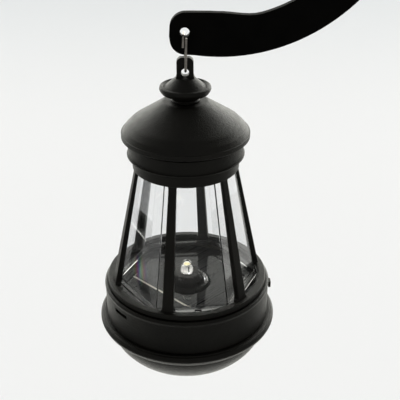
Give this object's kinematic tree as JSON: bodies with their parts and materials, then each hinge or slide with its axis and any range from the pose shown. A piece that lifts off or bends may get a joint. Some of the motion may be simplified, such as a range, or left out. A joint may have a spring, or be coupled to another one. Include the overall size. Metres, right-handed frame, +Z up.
{
  "type": "solar garden light",
  "caption": "Solar garden lantern with a clear six-sided chamber and a ribbed cage, hung by a wire link from a curved wall bracket.",
  "frame": {"origin": "centre of the wall plate's back face", "axes": "+X out of the wall plate's back face, into the wall; the lantern hangs on the -X side; +Z up; -Y towards the viewer"},
  "size_m": [0.1332, 0.0804, 0.236],
  "materials": {
    "black_plastic": "satin black moulding",
    "powder_coat": "black powder coat",
    "steel": "plated steel",
    "nickel_contact": "nickel plate",
    "clear_plastic": "clear polished polystyrene",
    "clear_epoxy": "clear epoxy",
    "seal_rubber": "matt rubber",
    "panel_board": "glass-epoxy board",
    "solar_cell": "dark silicon",
    "circuit_board": "green solder mask",
    "chip_resin": "moulded resin",
    "ferrite": "ferrite",
    "battery_sleeve": "shrink sleeve",
    "red_wire": "PVC insulation",
    "black_wire": "PVC insulation",
    "switch_case": "moulded nylon"
  },
  "bodies": {
    "bracket": {"hanger_bracket": "powder_coat"},
    "link": {"hanging_link": "steel"},
    "lantern": {"finial": "black_plastic", "finial_screw": "steel", "finial_washer": "steel", "roof": "black_plastic", "collar": "black_plastic", "cage": "black_plastic", "lens": "clear_plastic", "lens_seal": "seal_rubber", "base_wall": "black_plastic", "panel_tray": "black_plastic", "panel_board": "panel_board", "solar_cell": "solar_cell", "panel_cover": "clear_epoxy", "led_holder": "black_plastic", "led": "clear_epoxy", "led_lead_long": "nickel_contact", "led_lead_short": "nickel_contact", "circuit_board": "circuit_board", "driver_chip": "chip_resin", "inductor": "ferrite", "board_screw_1": "steel", "board_screw_2": "steel", "board_screw_3": "steel", "board_screw_4": "steel", "battery_cradle": "black_plastic", "battery": "battery_sleeve", "positive_contact": "nickel_contact", "negative_spring": "nickel_contact", "cradle_screw_1": "steel", "cradle_screw_2": "steel", "battery_wire_plus": "red_wire", "battery_wire_minus": "black_wire", "panel_wire_plus": "red_wire", "panel_wire_minus": "black_wire", "switch_wire_feed": "red_wire", "switch_wire_return": "black_wire", "switch_body": "switch_case"},
    "bowl": {"base_bowl": "black_plastic", "bowl_seal": "seal_rubber"},
    "switch": {"switch_knob": "black_plastic"}
  },
  "joints": [
    {"name": "link_rock", "type": "hinge", "parent": "bracket", "child": "link", "pos_m": [-0.093, 0, -0.04802], "axis": [1, 0, 0], "range_deg": [-8, 8]},
    {"name": "lantern_swing", "type": "hinge", "parent": "link", "child": "lantern", "pos_m": [-0.093, 0, -0.0626], "axis": [0, 1, 0], "range_deg": [-40, 40]},
    {"name": "bowl_twist", "type": "hinge", "parent": "lantern", "child": "bowl", "pos_m": [-0.093, 0, -0.1785], "axis": [0, 0, 1], "range_deg": [0, 20]},
    {"name": "switch_slide", "type": "slide", "parent": "lantern", "child": "switch", "axis": [-0.0349, 0.9994, 0], "range_m": [0, 0.002]}
  ]
}
